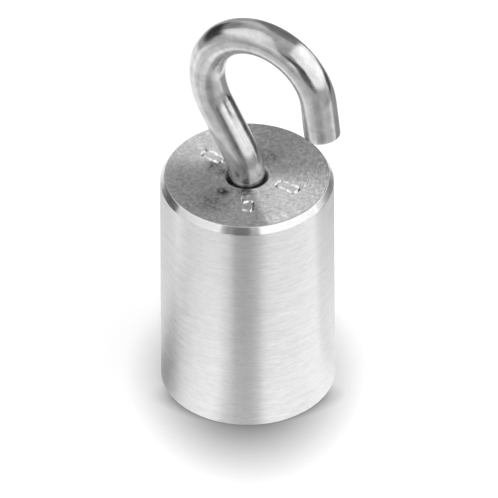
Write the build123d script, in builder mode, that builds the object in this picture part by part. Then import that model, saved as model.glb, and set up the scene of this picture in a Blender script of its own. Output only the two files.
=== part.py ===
from build123d import *
import math
import os

# Hooked cylindrical weight, in millimetres, +Z up.
# The origin is the centre of the base, on the body's axis.
# The hook is bent in the XZ plane, with its free tip on the +X side.

# ----- driving dimensions -----

# weight body, turned from solid bar
body_diameter = 38.0
body_height = 55.0
rim_width = 1.0            # top rim bevel, measured along the radius
rim_drop = 1.65            # top rim bevel, measured down the side
base_edge_break = 0.25

# hook, bent from round bar
bar_diameter = 8.0
neck_bend_radius = 13.0    # first bend, to the bar's centreline
neck_lean = 29.0           # degrees that the neck leans away from the tip
neck_length = 12.4         # straight stretch above the first bend
shoulder_radius = 17.0     # easier bend that leads into the loop, the other way
shoulder_sweep = 38.0
loop_inside_diameter = 20.0
loop_sweep = 164.5
tip_length = 8.5           # straight stretch before the free end
tip_edge_break = 0.4
shank_end_break = 0.3

# threaded joint between the two pieces
thread_length = 16.0
thread_pitch = 1.25
thread_clearance = 0.04    # radial, between the thread's crests and the bore
mouth_gap = 0.5            # radial gap round the bar in the open mouth
mouth_depth = 5.0
mouth_edge_break = 0.35
cavity_depth = 9.0         # drilled on below the shank
drill_point_angle = 118.0

# ----- derived sizes -----

body_radius = body_diameter / 2
bar_radius = bar_diameter / 2
mouth_radius = bar_radius + mouth_gap
thread_radius = bar_radius + thread_clearance
drill_radius = (bar_diameter - thread_pitch) / 2
drill_slope = math.tan(math.radians(drill_point_angle / 2))

mouth_floor = body_height - mouth_depth
shank_seat = mouth_floor - thread_length
cavity_floor = shank_seat - cavity_depth
loop_radius = loop_inside_diameter / 2 + bar_radius

os.makedirs("parts", exist_ok=True)


# ----- weight body: one turned profile, bored from the top -----

with BuildPart() as weight_body:
    with BuildSketch(Plane.XZ):
        with BuildLine():
            Polyline(
                (0, 0),
                (body_radius - base_edge_break, 0),
                (body_radius, base_edge_break),
                (body_radius, body_height - rim_drop),
                (body_radius - rim_width, body_height),
                (mouth_radius + mouth_edge_break, body_height),
                (mouth_radius, body_height - mouth_edge_break),
                (mouth_radius, mouth_floor),
                # the mouth's drill leaves a sloping floor above the thread
                (thread_radius, mouth_floor - (mouth_radius - thread_radius) / drill_slope),
                (thread_radius, shank_seat),
                # ledge that the shank's end lands on, round the smaller drilling
                (drill_radius, shank_seat),
                (drill_radius, cavity_floor),
                (0, cavity_floor - drill_radius / drill_slope),
                close=True,
            )
        make_face()
    revolve(axis=Axis.Z)

weight_body.part.label = "weight_body"


# ----- hook: round bar swept along its bends -----

with BuildPart() as hook:
    with BuildLine(Plane.XZ) as bends:
        shank = Line((0, shank_seat), (0, body_height))
        neck_bend = JernArc(shank @ 1, shank % 1, neck_bend_radius, neck_lean)
        neck = PolarLine(neck_bend @ 1, neck_length, direction=neck_bend % 1)
        shoulder = JernArc(neck @ 1, neck % 1, shoulder_radius, -shoulder_sweep)
        loop = JernArc(shoulder @ 1, shoulder % 1, loop_radius, -loop_sweep)
        tip = PolarLine(loop @ 1, tip_length, direction=loop % 1)
    with BuildSketch(Plane.XY.offset(shank_seat)):
        Circle(bar_radius)
    sweep(path=bends.line)

    shank_end = hook.edges().filter_by(GeomType.CIRCLE).sort_by(Axis.Z)[0]
    chamfer(shank_end, shank_end_break)
    tip_end = hook.edges().filter_by(GeomType.CIRCLE).sort_by_distance(tip @ 1)[0]
    chamfer(tip_end, tip_edge_break)

hook.part.label = "hook"


for piece in (weight_body, hook):
    export_step(piece.part, f"parts/{piece.part.label}.step")
    print(piece.part.label, "volume", round(piece.part.volume, 1), "valid", piece.part.is_valid)
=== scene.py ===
import bpy, bmesh, math
from mathutils import Matrix, Vector


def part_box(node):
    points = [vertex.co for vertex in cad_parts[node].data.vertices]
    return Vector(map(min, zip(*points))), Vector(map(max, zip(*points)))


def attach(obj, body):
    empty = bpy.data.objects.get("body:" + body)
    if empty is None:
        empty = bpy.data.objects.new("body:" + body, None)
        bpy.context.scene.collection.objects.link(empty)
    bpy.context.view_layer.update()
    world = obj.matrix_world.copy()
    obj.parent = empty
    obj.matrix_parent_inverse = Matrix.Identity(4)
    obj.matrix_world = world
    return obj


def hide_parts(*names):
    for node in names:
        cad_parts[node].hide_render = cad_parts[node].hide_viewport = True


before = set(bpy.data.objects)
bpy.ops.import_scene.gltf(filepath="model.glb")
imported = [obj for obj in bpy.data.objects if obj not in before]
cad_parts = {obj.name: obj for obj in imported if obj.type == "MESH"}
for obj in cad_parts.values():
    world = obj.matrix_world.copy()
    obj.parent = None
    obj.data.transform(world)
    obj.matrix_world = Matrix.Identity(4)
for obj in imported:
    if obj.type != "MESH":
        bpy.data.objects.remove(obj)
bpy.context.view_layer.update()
print("frame loaded:", sorted(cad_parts))

mm = 0.001


def smoothExceptEdges(mesh, sharpAngle):
    mesh.shade_smooth()
    mesh.set_sharp_from_angle(angle=math.radians(sharpAngle))


def newPiece(name, bm, sharpAngle):
    mesh = bpy.data.meshes.new(name)
    bm.to_mesh(mesh)
    bm.free()
    smoothExceptEdges(mesh, sharpAngle)
    piece = bpy.data.objects.new(name, mesh)
    bpy.context.scene.collection.objects.link(piece)
    return piece


def keepFlatsFlat(piece, weight=80):
    # large faces lead the shading, so the small rounds don't tint them
    weighted = piece.modifiers.new("flatShading", "WEIGHTED_NORMAL")
    weighted.keep_sharp = True
    weighted.weight = weight


def edgesAt(bm, radius, height, near=0.01 * mm):
    # the ring of edges at one radius and height of a turned piece
    def onRing(v):
        return abs(v.co.xy.length - radius) < near and abs(v.co.z - height) < near
    return [e for e in bm.edges if onRing(e.verts[0]) and onRing(e.verts[1])]


turnedBody = {
    "rimWidth": 1.0 * mm,
    "rimDrop": 1.65 * mm,
    "baseBreak": 0.25 * mm,
    "mouthRadius": 4.5 * mm,
    "mouthBreak": 0.35 * mm,
    "mouthDepth": 5.0 * mm,
    "threadRadius": 4.04 * mm,
    "seatDepth": 21.0 * mm,      # below the top face, where the shank lands
    "drillRadius": 3.375 * mm,
    "drillDepth": 30.0 * mm,
    "drillPoint": 118,           # degrees
    "markedFrom": 6.0 * mm,      # ring of the top face that takes the marks
    "markedTo": 14.0 * mm,
    "edgeRound": 0.16 * mm,      # worn roundness of the rim's and the mouth's edges
    "roundSteps": 3,
    "steps": 240,                # round the axis
    "sharpAngle": 25,            # degrees, above which an edge shows
    "flatFrom": 0.999,           # upward part of the normal, from which a face is the top face's
    "weld": 0.001 * mm,
}


def makeTurnedBody(p):
    low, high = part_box("weight_body")
    radius, top = high.x, high.z
    slope = math.tan(math.radians(p["drillPoint"] / 2))
    drillFloor = top - p["drillDepth"]
    outline = [
        (0, low.z),
        (radius - p["baseBreak"], low.z),
        (radius, low.z + p["baseBreak"]),
        (radius, top - p["rimDrop"]),
        (radius - p["rimWidth"], top),
        (p["markedTo"], top),
        (p["markedFrom"], top),
        (p["mouthRadius"] + p["mouthBreak"], top),
        (p["mouthRadius"], top - p["mouthBreak"]),
        (p["mouthRadius"], top - p["mouthDepth"]),
        (p["threadRadius"], top - p["mouthDepth"] - (p["mouthRadius"] - p["threadRadius"]) / slope),
        (p["threadRadius"], top - p["seatDepth"]),
        (p["drillRadius"], top - p["seatDepth"]),
        (p["drillRadius"], drillFloor),
        (0, drillFloor - p["drillRadius"] / slope),
    ]
    bm = bmesh.new()
    points = [bm.verts.new((x, 0, z)) for x, z in outline]
    section = [bm.edges.new(pair) for pair in zip(points, points[1:])]
    bmesh.ops.spin(bm, geom=points + section, cent=(0, 0, 0), axis=(0, 0, 1),
                   angle=math.tau, steps=p["steps"], use_merge=True)
    bmesh.ops.remove_doubles(bm, verts=bm.verts, dist=p["weld"])
    bmesh.ops.recalc_face_normals(bm, faces=bm.faces)
    worn = edgesAt(bm, radius, top - p["rimDrop"]) + edgesAt(bm, radius - p["rimWidth"], top)
    worn += edgesAt(bm, p["mouthRadius"] + p["mouthBreak"], top)
    bmesh.ops.bevel(bm, geom=worn, offset=p["edgeRound"], affect="EDGES", segments=p["roundSteps"],
                    profile=0.5, material=-1)
    return newPiece("turned_body", bm, p["sharpAngle"])


punchedMarks = {
    "height": 5.0 * mm,
    "width": 2.2 * mm,
    "punchSize": 0.42 * mm,      # half the width of its wedge, at the widest
    "depth": 0.36 * mm,
    "ring": 9.8 * mm,            # from the axis to a mark's middle
    "curveSteps": 6,             # between two points of a stroke
    "endWeld": 0.001 * mm,       # closes the ends of the bars that cut
    "sliverWeld": 0.0005 * mm,   # takes out the slivers that the cuts leave
    "marks": [("5", -60, 0), ("0", 5, -8), ("0", 168, 4)],  # digit, degrees round the axis, own turn
    "closed": "0",               # digits whose stroke ends where it starts
    # strokes run through these points, given in widths and heights from the mark's middle
    "strokes": {
        "5": [
            [(0.45, 0.5), (-0.4, 0.5)],
            [(-0.4, 0.5), (-0.45, 0.06)],
            [(-0.45, 0.06), (0.0, 0.16), (0.6, 0.16), (0.6, -0.52), (0.05, -0.52), (-0.55, -0.42)],
        ],
        "0": [
            [(-0.5, -0.2), (-0.5, 0.2), (-0.5, 0.52), (0.5, 0.52), (0.5, 0.2), (0.5, -0.2), (0.5, -0.52),
             (-0.5, -0.52)],
        ],
    },
}


def makePunch(mark, stroke, p):
    # a square bar on edge along one stroke of a mark, whose lower half cuts a V
    digit, around, turn = mark
    points = p["strokes"][digit][stroke]
    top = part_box("weight_body")[1].z
    # a mark's head points at the axis
    place = (Matrix.Translation((0, 0, top)) @ Matrix.Rotation(math.radians(around + 90), 4, "Z")
             @ Matrix.Translation((0, -p["ring"], 0)) @ Matrix.Rotation(math.radians(turn), 4, "Z"))
    curve = bpy.data.curves.new("stroke", "CURVE")
    curve.dimensions = "3D"
    curve.bevel_depth, curve.bevel_resolution = p["punchSize"], 0
    curve.use_fill_caps, curve.resolution_u = True, p["curveSteps"]
    spline = curve.splines.new("NURBS")
    spline.points.add(len(points) - 1)
    for point, (across, up) in zip(spline.points, points):
        point.co = place @ Vector((across * p["width"], up * p["height"], p["punchSize"] - p["depth"], 1))
    spline.use_cyclic_u = digit in p["closed"]
    spline.use_endpoint_u = not spline.use_cyclic_u
    spline.order_u = 3           # quadratic
    bar = bpy.data.objects.new("stroke", curve)
    bpy.context.scene.collection.objects.link(bar)
    solid = bpy.data.meshes.new_from_object(bar)
    bpy.data.objects.remove(bar)
    return solid


def punchMarks(piece, p, sharpAngle):
    # strokes of one digit cross, so each round cuts one stroke of every mark
    for stroke in range(max(len(strokes) for strokes in p["strokes"].values())):
        bm = bmesh.new()
        for mark in p["marks"]:
            if stroke < len(p["strokes"][mark[0]]):
                bm.from_mesh(makePunch(mark, stroke, p))
        bmesh.ops.remove_doubles(bm, verts=bm.verts, dist=p["endWeld"])
        bmesh.ops.recalc_face_normals(bm, faces=bm.faces)
        bmesh.ops.triangulate(bm, faces=bm.faces)
        punch = newPiece("punch", bm, sharpAngle)
        cut = piece.modifiers.new("punched", "BOOLEAN")
        cut.operation, cut.solver, cut.object = "DIFFERENCE", "EXACT", punch
        bpy.context.view_layer.update()
        cutPiece = piece.evaluated_get(bpy.context.evaluated_depsgraph_get())
        finished = bpy.data.meshes.new_from_object(cutPiece)
        piece.modifiers.remove(cut)
        piece.data = finished
        bpy.data.objects.remove(punch)
    bm = bmesh.new()
    bm.from_mesh(piece.data)
    bmesh.ops.remove_doubles(bm, verts=bm.verts, dist=p["sliverWeld"])
    bm.to_mesh(piece.data)
    bm.free()
    piece.data.name = piece.name
    smoothExceptEdges(piece.data, sharpAngle)


bodyPiece = makeTurnedBody(turnedBody)
punchMarks(bodyPiece, punchedMarks, turnedBody["sharpAngle"])
keepFlatsFlat(bodyPiece)
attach(bodyPiece, "root")
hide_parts("weight_body")
print("body turned:", len(bodyPiece.data.polygons), "faces")


bentHook = {
    "barRadius": 4.0 * mm,
    "shankDepth": turnedBody["seatDepth"],  # its end lands on the body's seat
    "bends": [                   # length of a straight, or (radius, degrees) of a bend
        turnedBody["seatDepth"],
        (13.0 * mm, 29.0),
        12.4 * mm,
        (17.0 * mm, -38.0),
        (14.0 * mm, -164.5),
        8.5 * mm,
    ],
    "stepDegrees": 2.5,
    "stepLength": 1.2 * mm,
    "shankBreak": 0.3 * mm,
    "tipBreak": 0.4 * mm,
    "tipSteps": 3,               # the tip's edge is rounded, the shank's is cut straight
    "sides": 72,
    "sharpAngle": 35,
}


def aheadOf(heading):
    # the way along the bar, in the plane of its bends: 0 degrees is +X and 90 is up
    return Vector((math.cos(math.radians(heading)), 0, math.sin(math.radians(heading))))


def bendStep(bend, at, heading, p):
    # how many short steps a straight or a bend takes, and the length and the move of one
    if not isinstance(bend, tuple):
        steps = max(1, round(bend / p["stepLength"]))
        return steps, bend / steps, Matrix.Translation(aheadOf(heading) * bend / steps)
    radius, sweep = bend
    steps = max(1, round(abs(sweep) / p["stepDegrees"]))
    centre = at + aheadOf(heading + math.copysign(90, sweep)) * radius
    turn = Matrix.Rotation(-math.radians(sweep) / steps, 4, "Y")
    move = Matrix.Translation(centre) @ turn @ Matrix.Translation(-centre)
    return steps, radius * math.radians(abs(sweep)) / steps, move


def makeBentHook(p):
    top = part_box("weight_body")[1].z
    at = Vector((0, 0, top - p["shankDepth"]))
    heading, along = 90.0, 0.0
    bm = bmesh.new()
    straight = bm.verts.layers.float_vector.new("straightBar")  # place on the bar before bending
    ring = bmesh.ops.create_circle(bm, segments=p["sides"], radius=p["barRadius"], cap_ends=True,
                                   matrix=Matrix.Translation(at))["verts"]
    for v in ring:
        v[straight] = (v.co.x, v.co.y, 0)
    ringEdges = [e for e in bm.edges if e.verts[0] in ring and e.verts[1] in ring]
    for bend in p["bends"]:
        steps, length, move = bendStep(bend, at, heading, p)
        for _ in range(steps):
            made = bmesh.ops.extrude_edge_only(bm, edges=ringEdges)["geom"]
            ring = [g for g in made if isinstance(g, bmesh.types.BMVert)]
            ringEdges = [g for g in made if isinstance(g, bmesh.types.BMEdge)
                         and g.verts[0] in ring and g.verts[1] in ring]
            bmesh.ops.transform(bm, matrix=move, verts=ring)
            along += length
            for v in ring:
                v[straight] = (v[straight][0], v[straight][1], along)
            at = move @ at
        heading += bend[1] if isinstance(bend, tuple) else 0
    bmesh.ops.contextual_create(bm, geom=ringEdges)
    bmesh.ops.recalc_face_normals(bm, faces=bm.faces)
    # the two ends are the only faces with more than four corners
    capEdges = [e for e in bm.edges if max(len(f.verts) for f in e.link_faces) > 4]
    shankEdges = [e for e in capEdges if e.verts[0].co.z < top - p["shankDepth"] / 2]
    tipEdges = [e for e in capEdges if e not in shankEdges]
    bmesh.ops.bevel(bm, geom=shankEdges, offset=p["shankBreak"], affect="EDGES", segments=1,
                    profile=0.5, material=-1)
    bmesh.ops.bevel(bm, geom=tipEdges, offset=p["tipBreak"], affect="EDGES", segments=p["tipSteps"],
                    profile=0.5, material=-1)
    return newPiece("bent_hook", bm, p["sharpAngle"])


hookPiece = makeBentHook(bentHook)
keepFlatsFlat(hookPiece)
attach(hookPiece, "root")
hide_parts("hook")
print("hook bent:", len(hookPiece.data.polygons), "faces")


def socketOf(value, socket, tree):
    # a number sets the socket, a node's output is linked to it
    if isinstance(value, bpy.types.NodeSocket):
        tree.links.new(value, socket)
    elif value is not None:
        socket.default_value = value


def addMath(tree, operation, *values):
    node = tree.nodes.new("ShaderNodeMath")
    node.operation = operation
    for value, socket in zip(values, node.inputs):
        socketOf(value, socket, tree)
    return node.outputs[0]


def addScaled(tree, value, factor, offset=0.0):
    # (value + offset) * factor
    if offset:
        value = addMath(tree, "ADD", value, offset)
    return addMath(tree, "MULTIPLY", value, factor)


def addVectorMath(tree, operation, *values):
    # gives all outputs: a length or a distance is in "Value"
    node = tree.nodes.new("ShaderNodeVectorMath")
    node.operation = operation
    for value, socket in zip(values, node.inputs):
        socketOf(value, socket, tree)
    return node.outputs


def addParts(tree, vector):
    node = tree.nodes.new("ShaderNodeSeparateXYZ")
    socketOf(vector, node.inputs[0], tree)
    return node.outputs


def objectPlace(tree):
    return tree.nodes.new("ShaderNodeTexCoord").outputs["Object"]


def addRange(tree, value, low, high, toLow=0.0, toHigh=1.0, smooth=False):
    node = tree.nodes.new("ShaderNodeMapRange")
    if smooth:
        node.interpolation_type = "SMOOTHSTEP"
    for put, name in ((value, "Value"), (low, "From Min"), (high, "From Max"),
                      (toLow, "To Min"), (toHigh, "To Max")):
        socketOf(put, node.inputs[name], tree)
    return node.outputs[0]


def addNoise(tree, vector, scale, detail=2.0, roughness=0.5):
    node = tree.nodes.new("ShaderNodeTexNoise")
    for put, name in ((vector, "Vector"), (scale, "Scale"), (detail, "Detail"), (roughness, "Roughness")):
        socketOf(put, node.inputs[name], tree)
    return node.outputs[0]


def addVector(tree, x, y, z):
    node = tree.nodes.new("ShaderNodeCombineXYZ")
    for put, socket in zip((x, y, z), node.inputs):
        socketOf(put, socket, tree)
    return node.outputs[0]


def newGroup(name, inputs, outputs, outputKind="Float"):
    # inputs are (name, socket type, default); outputs are names
    group = bpy.data.node_groups.new(name, "ShaderNodeTree")
    for label, kind, default in inputs:
        socket = group.interface.new_socket(name=label, in_out="INPUT", socket_type="NodeSocket" + kind)
        if default is not None:
            socket.default_value = default
    for label in outputs:
        group.interface.new_socket(name=label, in_out="OUTPUT", socket_type="NodeSocket" + outputKind)
    return group, group.nodes.new("NodeGroupInput").outputs, group.nodes.new("NodeGroupOutput").inputs


def placeGroup(tree, group, **values):
    node = tree.nodes.new("ShaderNodeGroup")
    node.node_tree = group
    for label, value in values.items():
        socketOf(value, node.inputs[label], tree)
    return node.outputs


streaks = {
    "bands": 0.2,                # cells of the broad bands to one of the lines
    "lineDetail": (3.0, 0.7),    # detail and roughness of the noise
    "bandDetail": (2.0, 0.5),
    "spread": (0.3, 0.7),        # the noise's values that become 0 and 1
}


def makeStreakGroup(p):
    # fine drawn lines: the vector is already stretched along the lines
    group, given, out = newGroup(
        "streaks",
        [("Vector", "Vector", None), ("Fine", "Float", 1.0), ("Broad", "Float", p["bands"])],
        ["Lines", "Bands"])
    fine = addNoise(group, given["Vector"], given["Fine"], *p["lineDetail"])
    broad = addNoise(group, given["Vector"], given["Broad"], *p["bandDetail"])
    socketOf(addRange(group, fine, *p["spread"]), out["Lines"], group)
    socketOf(addRange(group, broad, *p["spread"]), out["Bands"], group)
    return group


scratches = {
    "thin": 5000.0,              # noise cells in a metre across a scratch
    "long": 150.0,               # and along it
    "detail": (2.0, 0.6),
    "share": 0.35,
    "rareLevel": 0.75,           # noise above this is a scratch, at a share of 0
    "commonLevel": 0.4,          # and at a share of 1
    "edge": 0.1,                 # softness of that limit
}


def makeScratchGroup(p):
    # sparse thin scratches on a flat or unrolled surface, in metres, at one angle
    group, given, out = newGroup(
        "scratches",
        [("Vector", "Vector", None), ("Angle", "Float", 0.0), ("Thin", "Float", p["thin"]),
         ("Long", "Float", p["long"]), ("Share", "Float", p["share"])],
        ["Scratches"])
    turn = group.nodes.new("ShaderNodeVectorRotate")
    turn.rotation_type = "Z_AXIS"
    socketOf(given["Vector"], turn.inputs["Vector"], group)
    socketOf(given["Angle"], turn.inputs["Angle"], group)
    x, y, z = addParts(group, turn.outputs[0])
    stretched = addVector(group, addScaled(group, x, given["Long"]), addScaled(group, y, given["Thin"]), z)
    lines = addNoise(group, stretched, 1.0, *p["detail"])
    level = addMath(group, "SUBTRACT", p["rareLevel"],
                    addScaled(group, given["Share"], p["rareLevel"] - p["commonLevel"]))
    mask = addRange(group, lines, level, addMath(group, "ADD", level, p["edge"]))
    socketOf(mask, out["Scratches"], group)
    return group


streakGroup = makeStreakGroup(streaks)
scratchGroup = makeScratchGroup(scratches)


def newSteel(name, colour, roughness, anisotropy):
    material = bpy.data.materials.new(name)
    material.use_nodes = True
    shader = material.node_tree.nodes["Principled BSDF"]
    shader.inputs["Base Color"].default_value = (colour, colour, colour, 1)
    shader.inputs["Metallic"].default_value = 1
    shader.inputs["Roughness"].default_value = roughness
    shader.inputs["Anisotropic"].default_value = anisotropy
    return material, material.node_tree, shader


def addBump(tree, shader, height, distance):
    bump = tree.nodes.new("ShaderNodeBump")
    bump.inputs["Strength"].default_value = 1
    bump.inputs["Distance"].default_value = distance
    socketOf(height, bump.inputs["Height"], tree)
    socketOf(bump.outputs[0], shader.inputs["Normal"], tree)


def makeProfileGroup():
    # place on a turned piece: along its profile, and round the axis as a point on a unit circle
    group, given, out = newGroup("turnedPlace", [("Vector", "Vector", None)],
                                 ["Radius", "Height", "X", "Y"])
    x, y, z = addParts(group, given["Vector"])
    radius = addMath(group, "SQRT", addMath(group, "ADD", addMath(group, "MULTIPLY", x, x),
                                            addMath(group, "MULTIPLY", y, y)))
    safe = addMath(group, "MAXIMUM", radius, 0.1 * mm)  # nothing is divided by zero on the axis
    for put, name in ((radius, "Radius"), (z, "Height"), (addMath(group, "DIVIDE", x, safe), "X"),
                      (addMath(group, "DIVIDE", y, safe), "Y")):
        socketOf(put, out[name], group)
    return group


def makeGrooveNormalGroup():
    # leans the normal across a turned piece's grooves, by a slope that changes from groove to groove;
    # X and Y give the way in which it goes up or down
    group, given, out = newGroup("groovedNormal",
                                 [("Slope", "Float", 0.0), ("X", "Float", 0.0), ("Y", "Float", 1.0)],
                                 ["Normal"], "Vector")
    around = addVector(group, addScaled(group, given["Y"], -1.0), given["X"], 0.0)
    normal = group.nodes.new("ShaderNodeNewGeometry").outputs["Normal"]
    across = addVectorMath(group, "CROSS_PRODUCT", normal, around)[0]
    lean = addVectorMath(group, "MULTIPLY", across, addVector(group, *[given["Slope"]] * 3))[0]
    unit = addVectorMath(group, "NORMALIZE", addVectorMath(group, "ADD", normal, lean)[0])[0]
    socketOf(unit, out["Normal"], group)
    return group


profileGroup = makeProfileGroup()
grooveNormalGroup = makeGrooveNormalGroup()

turnedFinishes = {
    # the side, the narrow rim and the top face were cut with different tools
    "turnedSide": {"colour": 0.92, "roughness": 0.33, "anisotropy": 1.0, "fineSlope": 2.5, "lineSlope": 0.4,
                   "lineShade": 0.15, "scratchShade": 0.06, "grain": 0.03, "fanHighlight": 0.0},
    "turnedRim": {"colour": 0.82, "roughness": 0.17, "anisotropy": 1.0, "fineSlope": 0.3, "lineSlope": 0.0,
                  "lineShade": 0.06, "scratchShade": 0.0, "grain": 0.04, "fanHighlight": 0.0},
    # the top face's fans are lightened in colour by a painted highlight
    "turnedFace": {"colour": 0.6, "roughness": 0.3, "anisotropy": 0.0, "fineSlope": 3.6, "lineSlope": 0.05,
                   "lineShade": 0.14, "scratchShade": 0.0, "grain": 0.29, "fanHighlight": 0.33},
    "punchedMark": {"colour": 0.7, "roughness": 0.15, "anisotropy": 0.0, "fineSlope": 0.0, "lineSlope": 0.0,
                    "lineShade": 0.0, "scratchShade": 0.0, "grain": 0.6, "fanHighlight": 0.0},
}
grooves = {
    "fine": 64000.0,             # noise cells in a metre of profile, too fine to see singly
    "fineArc": 12.0,             # noise cells in a radian
    "fineDetail": (1.0, 0.5),    # detail and roughness of the noise
    "lines": 4000.0,             # noise cells in a metre, for the grooves that show as lines
    "lineArc": 6.0,
    "bandShade": 0.05,
    "scratchAngle": 38,
    "scratchShare": 0.45,
    "grainScale": 1000.0,
    "grainDetail": (3.0, 0.7),
    "grainSpread": (0.35, 0.65),  # the noise's values that become 0 and 1
    "fanAt": -10,                # degrees round the face; the fan has a twin across the axis
    # the fan's two edges: degrees of the way in across one, and how far in its fade starts and ends
    "fanSharp": (37, 0.02, 0.2),
    "fanSoft": (-40, 0.0, 0.8),
    "fanLean": -15,              # degrees, the one way that the fan's grooves lean
    "fanTilt": -0.33,            # slope added to all of them, towards one side
    "swirl": 45,                 # degrees from straight out, the way that the other grooves lean
    # soft dark blots on the face: degrees round it, then out and reach in its radii, and depth
    "stains": [
        (182, 0.41, 0.2, 0.5),
        (-102, 0.4, 0.15, 0.5),
        (-162, 0.27, 0.12, 0.45),
        (-98, 0.62, 0.32, 0.2),
        (-64, 0.31, 0.14, 0.35),
        (-30, 0.38, 0.15, 0.16),
        (-150, 0.7, 0.3, 0.08),
        (85, 0.42, 0.22, 0.2),
    ],
    "stainScale": 700.0,
    "stainDetail": (3.0, 0.6),
    "stainBreak": (0.35, 0.65, 0.3, 1.5),  # noise from and to, and the blots' strength there
}


def addAlong(tree, place, degrees):
    # how far a place on the unit circle lies along one direction
    angle = math.radians(degrees)
    return addMath(tree, "ADD", addScaled(tree, place["X"], math.cos(angle)),
                   addScaled(tree, place["Y"], math.sin(angle)))


def addFans(tree, place, g):
    # gives the two parts of the way that the grooves lean, the fans' mask and their tilt
    side = addMath(tree, "SIGN", addAlong(tree, place, g["fanAt"]))  # 1 in the fan, -1 in its twin
    fan = 1.0
    for degrees, start, end in (g["fanSharp"], g["fanSoft"]):
        inside = addScaled(tree, addAlong(tree, place, degrees), side)
        fan = addScaled(tree, addRange(tree, inside, start, end, smooth=True), fan)
    lean = math.radians(g["fanLean"])
    swirled = [addAlong(tree, place, g["swirl"]), addAlong(tree, place, g["swirl"] + 90)]
    blended = []
    for free, held in zip(swirled, (math.cos(lean), math.sin(lean))):
        change = addMath(tree, "SUBTRACT", addScaled(tree, side, held), free)
        blended.append(addMath(tree, "ADD", free, addScaled(tree, change, fan)))
    tilt = addScaled(tree, addScaled(tree, side, fan), g["fanTilt"])
    return (*blended, fan, tilt)


def addStains(tree, g):
    at = objectPlace(tree)
    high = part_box("weight_body")[1]
    stained = 0.0
    for degrees, out, reach, depth in g["stains"]:
        middle = Matrix.Rotation(math.radians(degrees), 4, "Z") @ Vector((out * high.x, 0, high.z))
        away = addVectorMath(tree, "DISTANCE", at, middle)["Value"]
        blot = addRange(tree, away, 0.0, reach * high.x, depth, 0.0, smooth=True)
        stained = addMath(tree, "ADD", stained, blot)
    broken = addRange(tree, addNoise(tree, at, g["stainScale"], *g["stainDetail"]), *g["stainBreak"])
    return addScaled(tree, stained, broken)


def makeTurnedSteel(name, p, g):
    material, tree, shader = newSteel(name, p["colour"], p["roughness"], p["anisotropy"])
    shader.inputs["Anisotropic Rotation"].default_value = 0.25  # lays the wide gloss across the grooves
    tangent = tree.nodes.new("ShaderNodeTangent")
    tangent.direction_type, tangent.axis = "RADIAL", "Z"
    socketOf(tangent.outputs[0], shader.inputs["Tangent"], tree)
    at = objectPlace(tree)
    place = placeGroup(tree, profileGroup, Vector=at)
    profile = addMath(tree, "SUBTRACT", place["Radius"], place["Height"])

    def alongGrooves(density, arc):
        return addVector(tree, addScaled(tree, profile, density),
                         addScaled(tree, place["X"], arc), addScaled(tree, place["Y"], arc))

    lines = placeGroup(tree, streakGroup, Vector=alongGrooves(g["lines"], g["lineArc"]))
    fine = addNoise(tree, alongGrooves(g["fine"], g["fineArc"]), 1.0, *g["fineDetail"])
    # the side unrolled, with its seam at the back
    around = addMath(tree, "ARCTAN2", place["X"], addScaled(tree, place["Y"], -1.0))
    unrolled = addVector(tree, addScaled(tree, around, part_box("weight_body")[1].x), place["Height"], 0.0)
    slanted = placeGroup(tree, scratchGroup, Vector=unrolled, Angle=math.radians(g["scratchAngle"]),
                         Share=g["scratchShare"])["Scratches"]
    grain = addNoise(tree, at, g["grainScale"], *g["grainDetail"])
    shade = p["colour"]
    leanX, leanY, fan, tilt, stained = place["X"], place["Y"], 0.0, 0.0, 0.0
    if p["fanHighlight"]:
        # in two opposite fans of the face the grooves lean one way, and elsewhere they swirl; the fans'
        # colour is also lightened, a painted highlight
        leanX, leanY, fan, tilt = addFans(tree, place, g)
        stained = addStains(tree, g)
    # the first change is the fans' painted highlight; stains, lines, bands, grain and scratches follow
    for change in (addScaled(tree, fan, p["fanHighlight"]),
                   addScaled(tree, stained, -1.0),
                   addScaled(tree, lines["Lines"], p["lineShade"], -0.5),
                   addScaled(tree, lines["Bands"], g["bandShade"], -0.5),
                   addScaled(tree, addRange(tree, grain, *g["grainSpread"]), p["grain"], -0.5),
                   addScaled(tree, slanted, -p["scratchShade"])):
        shade = addMath(tree, "ADD", shade, change)
    socketOf(addVector(tree, shade, shade, shade), shader.inputs["Base Color"], tree)
    slope = tilt
    for change in (addScaled(tree, fine, p["fineSlope"], -0.5),
                   addScaled(tree, lines["Lines"], p["lineSlope"], -0.5)):
        slope = addMath(tree, "ADD", slope, change)
    normal = placeGroup(tree, grooveNormalGroup, Slope=slope, X=leanX, Y=leanY)
    socketOf(normal["Normal"], shader.inputs["Normal"], tree)
    return material


barFinish = {
    "colour": 0.68,
    "roughness": 0.16,
    "drawLines": 2600.0,         # noise cells in a metre across the bar
    "drawLength": 110.0,         # noise cells in a metre along it
    "bands": 0.3,                # cells of the broad bands to one of the lines
    "lineShade": 0.22,
    "lineDepth": 0.011 * mm,
    "blotchScale": 420.0,
    "blotchDetail": (3.0, 0.6),
    "blotchSpread": (0.3, 0.7),
    "blotchRough": 0.06,
    "blotchShade": 0.2,
    "footShadeReach": 11 * mm,       # painted shade on the bar's foot, which dims its highlight there: its reach up the bar from the top face
    "footShadeDepth": 0.26,
}


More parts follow.
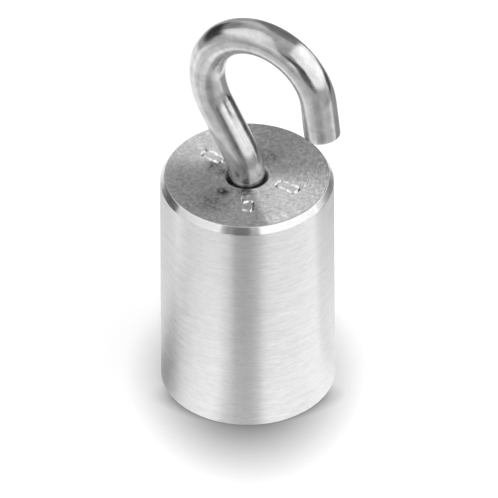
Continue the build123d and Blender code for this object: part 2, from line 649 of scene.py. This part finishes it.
def makeBarSteel(p):
    material, tree, shader = newSteel("barSteel", p["colour"], p["roughness"], 0.0)
    attribute = tree.nodes.new("ShaderNodeAttribute")
    attribute.attribute_name = "straightBar"
    at = attribute.outputs["Vector"]
    stretched = addVectorMath(tree, "MULTIPLY", at, (p["drawLines"], p["drawLines"], p["drawLength"]))[0]
    lines = placeGroup(tree, streakGroup, Vector=stretched, Broad=p["bands"])
    blotch = addRange(tree, addNoise(tree, at, p["blotchScale"], *p["blotchDetail"]), *p["blotchSpread"])
    rough = addMath(tree, "ADD", p["roughness"], addScaled(tree, blotch, p["blotchRough"], -0.5))
    socketOf(rough, shader.inputs["Roughness"], tree)
    # painted shade: the bar is darkened near the top face, fading out up the bar
    footShadeEnd = bentHook["shankDepth"] + p["footShadeReach"]
    footShade = addRange(tree, addParts(tree, at)["Z"], bentHook["shankDepth"], footShadeEnd, -p["footShadeDepth"], 0.0,
                     smooth=True)
    shade = p["colour"]
    for change in (addScaled(tree, blotch, p["blotchShade"], -0.5),
                   addScaled(tree, lines["Bands"], p["lineShade"], -0.5), footShade):
        shade = addMath(tree, "ADD", shade, change)
    socketOf(addVector(tree, shade, shade, shade), shader.inputs["Base Color"], tree)
    addBump(tree, shader, lines["Lines"], p["lineDepth"])
    return material


def finishOf(face, p, top):
    # which finish a face of the body has
    out = face.center.xy.length
    if face.center.z <= top - p["rimDrop"] or out <= p["mouthRadius"]:
        return "turnedSide"
    if face.normal.z > p["flatFrom"]:
        return "turnedFace"
    return "punchedMark" if p["markedFrom"] < out < p["markedTo"] else "turnedRim"


for name, finish in turnedFinishes.items():
    bodyPiece.data.materials.append(makeTurnedSteel(name, finish, grooves))
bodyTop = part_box("weight_body")[1].z
for face in bodyPiece.data.polygons:
    face.material_index = list(turnedFinishes).index(finishOf(face, turnedBody, bodyTop))
hookPiece.data.materials.append(makeBarSteel(barFinish))
print("finishes made:", len(bodyPiece.data.materials), "on the body")


studio = {
    "azimuth": 30.0,
    "elevation": 39.1,
    "roll": 0.36,                # degrees, tops lean left
    "frameWidth": 498,           # pixels
    "bodyWidth": 174.0,          # pixels across the body
    "topCentre": (246.9, 175.2),  # pixel of the top face's centre
    "cameraDistance": 1.0,
    "cameraClip": (0.01, 20.0),
    "floorSize": 0.5,
    "floorColour": 0.85,
    "floorLift": 0.45,           # white added where the camera sees the floor
    "mirroredLift": 0.4,         # and where the metal mirrors it
    # painted on top of the real shadow, because the bright metal throws light back on the floor
    "shadeMiddle": 4 * mm,       # towards the camera
    "shadeNarrow": 1.45,         # how much narrower than long
    "shadeInner": 15 * mm,
    "shadeOuter": 40 * mm,
    "shadeDepth": 0.766,
    "shadeCurve": 1.2,
    # and darker close to the base
    "contactReach": 7 * mm,
    "contactDepth": 0.75,
    "contactCurve": 0.75,
    "contactBehind": 0.3,        # its depth beside and behind the base
    "contactTurns": (-11 * mm, -2 * mm),  # away from the camera, where the one becomes the other
    # shaded parts of the floor that the metal mirrors: degrees to the right of the camera's side,
    # half width and edge; the distances of no and full shade; level
    "floorShades": [
        (28, 26, 24, -1, 0, 0.88),
        (-6, 17, 10, 75 * mm, 40 * mm, 0.62),
        (2, 21, 9, 40 * mm, 75 * mm, 0.62),
        (96, 5, 11, 75 * mm, 40 * mm, 0.82),
        (-5, 78, 15, 65 * mm, 100 * mm, 0.66),
        (118, 30, 4, 75 * mm, 95 * mm, 0.35),
    ],
    # and a painted shadow to the left of the base, which only the metal mirrors: right, away, half length,
    # half depth, level
    "mirroredShadowPatch": (-32 * mm, 0 * mm, 34 * mm, 22 * mm, 0.24),
    "roomLevel": 0.5,
    "ceilingLevel": 0.55,
    "ceilingStart": (0.75, 0.95),  # upward part of the direction, where the room becomes the ceiling
    # degrees to the right of the camera's side, half width, bottom, top and edge; level
    "panels": {
        "leftBackWall": (-160, 26, 20, 66, 6, 0.62),
        "leftBackLow": (-165, 22, -2, 22, 5, 0.45),
        "leftBackGap": (-130, 24, 12, 42, 6, 0.33),
        "leftBox": (-72, 39, 14, 74, 3, 1.1),
        "leftBoxLow": (-72, 39, 4, 14, 2, 0.7),
        "leftGap": (-124, 29, -10, 17, 4, 0.04),
        "rightBackGap": (148, 31, -15, 66, 5, 0.21),
        "rightBox": (60, 86, 3, 64, 4, 1.3),
        "rightBoxLow": (118, 28, -8, 15, 3, 1.3),
        "rightLowGap": (118, 22, -17, 1.5, 1.5, 0.07),
        "cameraGapHigh": (-12, 16, 26, 60, 4, 0.42),
        "cameraGap": (-6, 21, 12, 28, 3, 0.06),
        "cameraGapLow": (0, 17, -8, 14, 3, 0.13),
    },
    "grazing": 0.01,             # a panel isn't seen by what looks less than this towards it
}


def makeCamera(p):
    low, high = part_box("weight_body")
    azimuth, elevation = math.radians(p["azimuth"]), math.radians(p["elevation"])
    right = Vector((math.cos(azimuth), math.sin(azimuth), 0))
    back = Vector((math.sin(azimuth) * math.cos(elevation),
                   -math.cos(azimuth) * math.cos(elevation), math.sin(elevation)))
    up = back.cross(right)
    roll = math.radians(p["roll"])
    camRight = right * math.cos(roll) - up * math.sin(roll)
    camUp = up * math.cos(roll) + right * math.sin(roll)
    perPixel = (high.x - low.x) / p["bodyWidth"]
    middle = p["frameWidth"] / 2
    target = Vector((0, 0, high.z))
    target += camRight * (middle - p["topCentre"][0]) * perPixel
    target -= camUp * (middle - p["topCentre"][1]) * perPixel
    data = bpy.data.cameras.new("camera")
    data.type = "ORTHO"
    data.ortho_scale = p["frameWidth"] * perPixel
    data.clip_start, data.clip_end = p["cameraClip"]
    camera = bpy.data.objects.new("camera", data)
    bpy.context.scene.collection.objects.link(camera)
    turn = Matrix((camRight, camUp, back)).transposed().to_4x4()
    camera.matrix_world = Matrix.Translation(target + back * p["cameraDistance"]) @ turn
    bpy.context.scene.camera = camera


def addBaseShade(tree, turned, distance, p):
    # how dark the floor is painted round the base, for the camera
    middle = tree.nodes.new("ShaderNodeMapping")
    middle.inputs["Location"].default_value = (0, p["shadeMiddle"], 0)
    middle.inputs["Scale"].default_value = (p["shadeNarrow"], 1, 1)
    socketOf(turned, middle.inputs["Vector"], tree)
    away = addVectorMath(tree, "LENGTH", middle.outputs[0])["Value"]
    inward = addRange(tree, away, p["shadeOuter"], p["shadeInner"])
    shade = addScaled(tree, addMath(tree, "POWER", inward, p["shadeCurve"]), p["shadeDepth"])
    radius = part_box("weight_body")[1].x
    outward = addRange(tree, distance, radius, radius + p["contactReach"])
    contact = addMath(tree, "SUBTRACT", 1.0, addMath(tree, "POWER", outward, p["contactCurve"]))
    depth = addRange(tree, addParts(tree, turned)["Y"], *p["contactTurns"],
                     p["contactDepth"], p["contactBehind"], smooth=True)
    return addMath(tree, "MAXIMUM", shade, addScaled(tree, contact, depth))


def addMirroredFloor(tree, turned, distance, p):
    # the level of the floor that the metal mirrors, for its painted shades and its painted shadow left of
    # the base
    x, y, _ = addParts(tree, turned)
    floor = 1.0
    for side, halfWidth, edge, noShade, fullShade, level in p["floorShades"]:
        towards = math.radians(side)
        ahead = addMath(tree, "SUBTRACT", addScaled(tree, x, math.sin(towards)),
                        addScaled(tree, y, math.cos(towards)))
        angle = addMath(tree, "ARCCOSINE", addMath(tree, "DIVIDE", ahead, distance))
        mask = addRange(tree, angle, math.radians(halfWidth + edge), math.radians(halfWidth - edge),
                        smooth=True)
        mask = addScaled(tree, mask, addRange(tree, distance, noShade, fullShade))
        floor = addScaled(tree, floor, addRange(tree, mask, 0.0, 1.0, 1.0, level))
    right, away, halfLength, halfDepth, level = p["mirroredShadowPatch"]
    shadowPatch = tree.nodes.new("ShaderNodeMapping")
    shadowPatch.vector_type = "TEXTURE"
    shadowPatch.inputs["Location"].default_value = (right, away, 0)
    shadowPatch.inputs["Scale"].default_value = (halfLength, halfDepth, 1)
    socketOf(turned, shadowPatch.inputs["Vector"], tree)
    beyond = addVectorMath(tree, "LENGTH", shadowPatch.outputs[0])["Value"]
    return addScaled(tree, floor, addRange(tree, beyond, 0.0, 1.0, level, 1.0, smooth=True))


def makeFloor(p):
    bm = bmesh.new()
    bmesh.ops.create_grid(bm, x_segments=1, y_segments=1, size=p["floorSize"] / 2)
    piece = newPiece("floor", bm, sharpAngle=30)
    material = bpy.data.materials.new("floorWhite")
    material.use_nodes = True
    tree = material.node_tree
    shader = tree.nodes["Principled BSDF"]
    shader.inputs["Roughness"].default_value = 1
    shader.inputs["Specular IOR Level"].default_value = 0
    shader.inputs["Emission Color"].default_value = (1, 1, 1, 1)
    place = objectPlace(tree)
    distance = addVectorMath(tree, "LENGTH", place)["Value"]
    turn = tree.nodes.new("ShaderNodeMapping")  # X to the camera's right, Y away from it
    turn.inputs["Rotation"].default_value = (0, 0, -math.radians(p["azimuth"]))
    socketOf(place, turn.inputs["Vector"], tree)
    # the metal sees its own painted shades on the floor, without the painted shadow round the base
    path = tree.nodes.new("ShaderNodeLightPath").outputs
    mirrored = addMath(tree, "MAXIMUM", path["Is Glossy Ray"], path["Is Transmission Ray"])
    seen = addMath(tree, "SUBTRACT", 1.0, addBaseShade(tree, turn.outputs[0], distance, p))
    shade = addMath(tree, "ADD", addScaled(tree, addMath(tree, "SUBTRACT", 1.0, mirrored), seen),
                    addScaled(tree, mirrored, addMirroredFloor(tree, turn.outputs[0], distance, p)))
    colour = addScaled(tree, shade, p["floorColour"])
    socketOf(addVector(tree, colour, colour, colour), shader.inputs["Base Color"], tree)
    lift = addMath(tree, "ADD", addScaled(tree, path["Is Camera Ray"], p["floorLift"]),
                   addScaled(tree, mirrored, p["mirroredLift"]))
    socketOf(addScaled(tree, shade, lift), shader.inputs["Emission Strength"], tree)
    piece.data.materials.append(material)


def makePanelGroup(grazing):
    # a flat soft-edged panel of the studio, bright or dark, laid over the level given to it;
    # its sides are slopes, seen from the object: 1 stands for 45 degrees from the panel's azimuth
    group, given, out = newGroup(
        "studioPanel",
        [("Direction", "Vector", None), ("Under", "Float", 0.5), ("Azimuth", "Float", 0.0),
         ("Half Width", "Float", 0.5), ("Bottom", "Float", 0.0), ("Top", "Float", 0.5),
         ("Edge", "Float", 0.1), ("Level", "Float", 1.0)],
        ["Level"])
    turn = group.nodes.new("ShaderNodeVectorRotate")
    turn.rotation_type = "Z_AXIS"
    socketOf(given["Direction"], turn.inputs["Vector"], group)
    socketOf(addScaled(group, given["Azimuth"], -1.0), turn.inputs["Angle"], group)
    x, y, z = addParts(group, turn.outputs[0])
    ahead = addScaled(group, y, -1.0)
    mask = addMath(group, "GREATER_THAN", ahead, grazing)
    ahead = addMath(group, "MAXIMUM", ahead, grazing)
    across = addMath(group, "ABSOLUTE", addMath(group, "DIVIDE", x, ahead))
    rise = addMath(group, "DIVIDE", z, ahead)
    for inside in (addMath(group, "SUBTRACT", given["Half Width"], across),
                   addMath(group, "SUBTRACT", rise, given["Bottom"]),
                   addMath(group, "SUBTRACT", given["Top"], rise)):
        step = addRange(group, inside, addScaled(group, given["Edge"], -1.0), given["Edge"], smooth=True)
        mask = addScaled(group, mask, step)
    change = addScaled(group, addMath(group, "SUBTRACT", given["Level"], given["Under"]), mask)
    socketOf(addMath(group, "ADD", given["Under"], change), out["Level"], group)
    return group


def makeWorld(p):
    world = bpy.data.worlds.new("studio")
    bpy.context.scene.world = world
    world.use_nodes = True
    tree = world.node_tree
    group = makePanelGroup(p["grazing"])
    direction = tree.nodes.new("ShaderNodeTexCoord").outputs["Generated"]
    level = addRange(tree, addParts(tree, direction)["Z"], *p["ceilingStart"],
                     p["roomLevel"], p["ceilingLevel"], smooth=True)
    labels = ("Half Width", "Bottom", "Top", "Edge")
    for azimuth, *angles, strength in p["panels"].values():
        slopes = {label: math.tan(math.radians(angle)) for label, angle in zip(labels, angles)}
        level = placeGroup(tree, group, Direction=direction, Under=level, Level=strength,
                           Azimuth=math.radians(azimuth + p["azimuth"]), **slopes)["Level"]
    path = tree.nodes.new("ShaderNodeLightPath")
    level = addMath(tree, "MAXIMUM", level, path.outputs["Is Camera Ray"])  # white behind everything
    background = tree.nodes["Background"]
    socketOf(level, background.inputs["Strength"], tree)
    background.inputs["Color"].default_value = (1, 1, 1, 1)


makeCamera(studio)
makeFloor(studio)
makeWorld(studio)
bpy.context.scene.view_settings.view_transform = "Standard"
print("studio lit")
